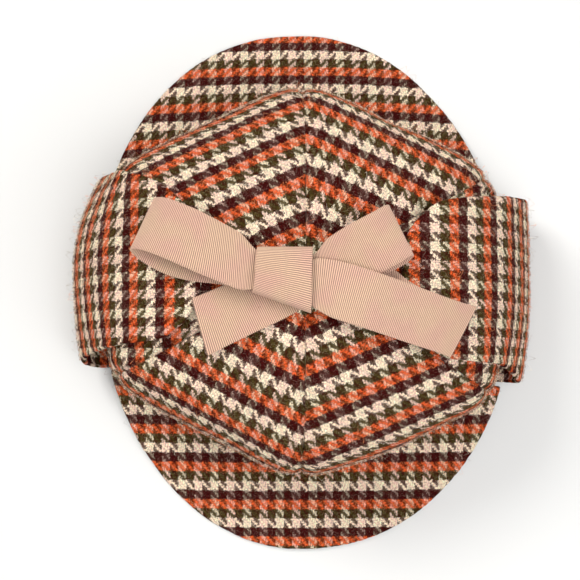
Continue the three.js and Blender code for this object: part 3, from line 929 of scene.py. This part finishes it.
# each row: x, y and height of the ribbon's middle, its heading, roll and lay on the crown, and its width
ribbons = [
    {"node": "ribbon_tie_left", "held": "laid", "rows": [
        (-9, -1, 113.5, 90, 0, 1, 18), (-26, 2, 112.7, 93, 0, 1, 18), (-39, 6.5, 111.6, 95, 0, 1, 18),
        (-48, 9, 113.5, 96, 0, 0.9, 15), (-58, 11, 110.7, 97, 0, 0.9, 14)]},
    {"node": "ribbon_tie_right", "held": "laid", "rows": [
        (-5, -2, 113.5, -90, 0, 1, 18), (20, -3, 113.6, -90, 0, 1, 20),
        (38, -6.5, 112.9, -94, 0, 1, 20), (48, -11.5, 114.8, -98, 0, 0.9, 15),
        (59, -17, 111.5, -102, 0, 0.9, 14)]},
    {"node": "bow_tail_left", "held": "laid", "rows": [
        (-6.5, -6, 115, 116, 0, 0.4, 24), (-16, -10.4, 114.6, 116, 0, 0.6, 25),
        (-28, -16, 114.2, 115, 0, 0.8, 25), (-38, -20.6, 113.5, 111, 0, 0.8, 25.5),
        (-46.7, -24.6, 112.8, 105, 0, 0.8, 26.7)]},
    {"node": "bow_loop_left", "held": "folded", "rows": [
        (-14, 0.5, 124, 85, 0, 0, 13), (-21.5, 0.8, 125, 84, 2, 0, 17), (-29, 4.6, 128, 86, 6, 0, 24.4),
        (-42, 10.5, 130.5, 79, 9, 0, 25), (-56, 17, 128.5, 70, 7, 0, 25),
        (-68, 21.8, 123.3, 66, 3, 0, 25), (-73.2, 22.2, 117.4, 65, 0, 0, 25),
        (-69.5, 18.2, 112.4, 64, 0, 0, 25), (-58.5, 11.8, 112.4, 69, 0, 0.2, 25),
        (-46.5, 8.6, 114.3, 73, 0, 0.2, 25), (-34, 6.6, 115.4, 78, 0, 0.2, 24),
        (-22, 1.4, 118, 84, 0, 0, 14), (-14, 1, 118.6, 86, 0, 0, 13)]},
    {"node": "bow_loop_right", "held": "folded", "rows": [
        (-2, -3.5, 121, -88, 0, 0, 13), (7, -2.4, 121, -84, -4, 0, 21),
        (15, 2.4, 122.8, -74, -10, 0, 25), (27, 9.4, 124.4, -65, -12, 0, 25),
        (38, 15.4, 123.4, -62, -8, 0, 25), (44, 19, 120.4, -63, -3, 0, 25),
        (45.3, 19.2, 118.4, -64, 0, 0, 25), (42.5, 16.2, 116, -64, 0, 0, 25),
        (33, 11.2, 115.6, -66, 0, 0.1, 25), (20, 5, 115.9, -74, 0, 0.1, 24),
        (8, -1.4, 117.4, -84, 0, 0, 17), (-2, -3, 118.2, -88, 0, 0, 13)]},
    {"node": "bow_tail_right", "held": "laid", "rows": [
        (-1, -3.6, 123.4, -91, 0, 0, 14), (6.5, -5.4, 124.4, -94, 0, 0, 22),
        (17, -8.8, 126.6, -104, 0, 0, 25), (30, -12.9, 126, -108, 0, 0, 25),
        (42, -16.6, 121.4, -109, 0, 0.2, 25), (54, -20.4, 116, -110, 0, 0.5, 25),
        (66, -24, 110, -114, 0, 0.8, 25), (75.3, -26.6, 104.2, -119, 0, 0.8, 26.4)]},
]
knot = {
    "node": "bow_knot", "left": -20.9, "right": 3.9, "leanLeft": 1.1, "leanRight": 0.4, "back": 11.2,
    "frontLeft": -9.5, "frontRight": -18.6, "bottom": 115.4, "top": 128.4, "roundness": 0.62, "pucker": 0.5,
    "gathers": ((19, 0, 0.6, 0.6), (34, 2, 0, 0.3)),   # turn across, start, sway over the knot, depth
    "meanWidth": 24.8,
}


def ribbonPiece(node, surface, length, meanWidth, cutEnd):
    pitch = ribbonFinish["ribPitch"]
    ribs = max(4, round(length / pitch))
    columns = ribbonMesh["acrossCut"] if cutEnd else ribbonMesh["across"]
    across, along = gridPlaces(
        np.linspace(0, 1, columns + 1), np.linspace(0, 1, ribs * ribbonMesh["perRib"] + 1))
    outer = surface(across, along)
    normal = slopeNormal(surface, across, along)
    # the selvedge bulges a little at the end of each rib
    bulge = ribbonMesh["scallop"] * np.abs(np.sin(along * ribs * math.pi))
    side = unit(outer[:, -1] - outer[:, 0])
    outer = outer.copy()
    outer[:, 0] -= side * bulge[:, :1]
    outer[:, -1] += side * bulge[:, :1]
    if cutEnd:
        # the cut end is ragged, with small loose teeth
        teeth = np.abs((across[0] * columns / 2) % 1 - 0.5) * 2 * cutEnd
        outer[-1] += unit(outer[-1] - outer[-2]) * teeth[:, None]
    inner = outer - normal * ribbonMesh["wall"]
    threads = np.stack([across * ribbonFinish["width"], along * ribs * pitch], axis=-1)
    piece = sheetMesh(node + "_ribbon", outer, inner, threads, rounding=ribbonMesh["edgeRoundness"])
    applyTree(piece, ribTree, {
        "Rib pitch": pitch, "Rib height": ribbonMesh["ribHeight"], "Finish": ribbonMaterial})
    finishCloth(piece, node)
    flat = (ribbonFinish["width"] * mm, length * mm)
    widthShare = min(1, meanWidth / ribbonFinish["width"])
    widthShare * flat[0] * flat[1]


def addRibbon(ribbon):
    rows = ribbon["rows"]
    middles = smoothCurve([row[:3] for row in rows])
    turns = smoothCurve([row[3:6] for row in rows])
    widths = smoothCurve([(row[6], 0, 0) for row in rows])
    length, placeAt = evenPlaces(middles)

    def surface(across, along):
        place = placeAt(along)
        middle = middles(place)
        heading, roll, lay = np.moveaxis(turns(place), -1, 0)
        reach = widths(place)[..., 0] * (across - 0.5)
        x = middle[..., 0] + reach * np.cos(np.radians(heading))
        y = middle[..., 1] + reach * np.sin(np.radians(heading))
        fall = lay * (crownTop(x, y) - crownTop(middle[..., 0], middle[..., 1]))
        return np.stack([x, y, middle[..., 2] + fall + reach * np.sin(np.radians(roll))], axis=-1)

    meanWidth = float(widths(placeAt(np.linspace(0, 1, 50)))[:, 0].mean())
    cutEnd = ribbonMesh["teeth"] if "tail" in ribbon["node"] else 0
    ribbonPiece(ribbon["node"], surface, length, meanWidth, cutEnd)


def addKnot():
    def squared(value):
        return np.sign(value) * np.abs(value) ** knot["roundness"]

    def band(across, turn):
        share = 1 - across
        front = knot["frontLeft"] + (knot["frontRight"] - knot["frontLeft"]) * share
        middleY = (knot["back"] + front) / 2
        halfDepth = (knot["back"] - front) / 2
        halfHeight = (knot["top"] - knot["bottom"]) / 2
        lean = knot["leanLeft"] + (knot["leanRight"] - knot["leanLeft"]) * share
        x = knot["left"] + (knot["right"] - knot["left"]) * share + lean * np.cos(turn)
        y = middleY + halfDepth * squared(np.cos(turn))
        gather = sum(
            depth * np.sin(across * pace + start + sway * np.cos(turn))
            for pace, start, sway, depth in knot["gathers"])
        top = np.maximum(0, np.sin(turn)) ** 0.5
        sink = knot["pucker"] * (gather + 1) * top
        return np.stack([x, y, knot["bottom"] + halfHeight * (1 + squared(np.sin(turn))) - sink], axis=-1)

    # places that are even along the band, from underneath and round
    turns = np.linspace(-math.pi / 2, 1.5 * math.pi, 3000)
    run = np.linalg.norm(np.diff(band(np.full_like(turns, 0.5), turns), axis=0), axis=1)
    run = np.concatenate([[0], np.cumsum(run)])

    def surface(across, along):
        return band(across, np.interp(along * run[-1], run, turns))

    ribbonPiece(knot["node"], surface, float(run[-1]), knot["meanWidth"], 0)


for ribbon in ribbons:
    addRibbon(ribbon)
addKnot()


print("fuzz")
fibreKinds = {
    "fuzz": {"Density": 640000, "Length": 0.0018, "Width": 0.00016, "Lift": 0.4},
    "strays": {"Density": 16000, "Length": 0.0062, "Width": 0.0001, "Lift": 0.6},
}
fibreSeed = 5
fibreSizes = (0.4, 1.5)   # the shortest and the longest, as shares of the length
fibreFinish = {"scale": 700.0, "palest": 0.2, "roughness": 0.8, "specular": 0.05}
fibreDyes = {
    "orange": dye(232, 128, 70), "plum": dye(86, 20, 16), "cream": dye(255, 242, 220),
    "green": dye(108, 88, 42), "pink": dye(255, 230, 214),
}
# the fibre that grows from each band of four threads: the weft's bands, then the warp's
fibreOfBand = ["orange", "plum", "cream", "green", "cream", "green", "pink", "plum"]


def makeFibreMaterial(name):
    material, finish, wire = startMaterial("wool fibre " + name)
    shade = wire.node("ShaderNodeTexNoise", {}, {"Scale": fibreFinish["scale"], "Detail": 1.0})
    pale = spreadBetween(wire, shade, 0.35, 0.65, 0.0, fibreFinish["palest"])
    colour = mixColours(wire, pale, fibreDyes[name], fibreDyes["cream"])
    return endMaterial(material, finish, fibreFinish, colour)


# One closed fibre: two thin cones base to base, arched over their length.
def makeFibre(wire, given):
    cone = wire.node("GeometryNodeMeshCone", {"fill_type": "NONE"}, {
        "Vertices": 3, "Radius Top": 0.0, "Radius Bottom": given["Width"] / 2, "Depth": given["Length"] / 2})
    other = wire.node("GeometryNodeTransform", {}, {"Geometry": cone, "Rotation": (math.pi, 0, 0)})
    joined = wire.node("GeometryNodeJoinGeometry", {}, {0: cone})
    wire.tree.links.new(other.socket, joined.socket.node.inputs[0])
    whole = wire.node("GeometryNodeMergeByDistance", {}, {"Geometry": joined, "Distance": 0.000001})
    level = wire.node("GeometryNodeTransform", {}, {"Geometry": whole, "Rotation": (0, math.pi / 2, 0)})
    along = wire.node("ShaderNodeSeparateXYZ", {}, [wire.node("GeometryNodeInputPosition")], "X")
    share = along / given["Length"] * 2
    rise = (1 - share * share) * given["Length"] * given["Lift"]
    arch = wire.node("ShaderNodeCombineXYZ", {}, [0.0, 0.0, rise])
    return wire.node("GeometryNodeSetPosition", {}, {"Geometry": level, "Offset": arch})


# Fibres on the outside of a cloth, each the colour of the band that it grows from.
def makeFuzzTree(materials):
    sizes = dict.fromkeys(("Density", "Length", "Width", "Lift"), "NodeSocketFloat")
    tree, given = startTree("wool fuzz", sizes | {"Seed": "NodeSocketInt"})
    wire = given["Geometry"]
    outside = wire.node("GeometryNodeInputNamedAttribute", {"data_type": "BOOLEAN"}, {"Name": "outside"})
    spread = wire.node("GeometryNodeDistributePointsOnFaces", {}, {
        "Mesh": given["Geometry"], "Selection": outside, "Density": given["Density"], "Seed": given["Seed"]})
    warp = wire.node("ShaderNodeSeparateXYZ", {}, [weavePlace(wire)], "X")
    weft = warp.also("Y")
    warpCount = warp.math("FLOOR")
    weftCount = weft.math("FLOOR")
    onTop = ((warpCount + weftCount) % 4).math("LESS_THAN", 1.5)
    warpBand = (((warpCount + 0.5) / 4) % 4).math("FLOOR")
    weftBand = (((weftCount + 0.5) / 4) % 4).math("FLOOR")
    ofWarp = onTop * weftBand.math("COMPARE", 2.0, 0.4)   # only the cream weft lets the warp show
    band = (warpBand + 4) * ofWarp + weftBand * (1 - ofWarp)
    marked = wire.node("GeometryNodeStoreNamedAttribute", {"data_type": "FLOAT", "domain": "POINT"}, {
        "Geometry": spread, "Name": "band", "Value": band})
    spin = wire.node("FunctionNodeRandomValue", {"data_type": "FLOAT_VECTOR"}, {
        0: (-0.5, -0.5, 0), 1: (0.5, 0.5, 6.28), "Seed": 3})
    sizes = wire.node("FunctionNodeRandomValue", {"data_type": "FLOAT"}, {
        2: fibreSizes[0], 3: fibreSizes[1], "Seed": 4}, 1)
    copies = wire.node("GeometryNodeInstanceOnPoints", {}, {
        "Points": marked, "Instance": makeFibre(wire, given),
        "Rotation": spread.also("Rotation"), "Scale": sizes})
    copies = wire.node("GeometryNodeRotateInstances", {}, {"Instances": copies, "Rotation": spin})
    made = wire.node("GeometryNodeRealizeInstances", {}, [copies])
    made = wire.node("GeometryNodeSetMaterial", {}, {"Geometry": made, "Material": materials["cream"]})
    band = wire.node("GeometryNodeInputNamedAttribute", {"data_type": "FLOAT"}, {"Name": "band"})
    for index, name in enumerate(fibreOfBand):
        chosen = band.math("COMPARE", float(index), 0.4)
        made = wire.node("GeometryNodeSetMaterial", {}, {
            "Geometry": made, "Selection": chosen, "Material": materials[name]})
    endTree(tree, made)
    return tree


def addFuzz():
    fuzzTree = makeFuzzTree({name: makeFibreMaterial(name) for name in fibreDyes})
    clothPieces = [piece for piece in bpy.data.objects if piece.name.endswith("_cloth")]
    for index, piece in enumerate(clothPieces):
        for kind, sizes in fibreKinds.items():
            hairs = bpy.data.objects.new(piece.name.replace("_cloth", "_" + kind), piece.data.copy())
            show(hairs)
            applyTree(hairs, fuzzTree, sizes | {"Seed": fibreSeed + index})
            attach(hairs, "root")


addFuzz()
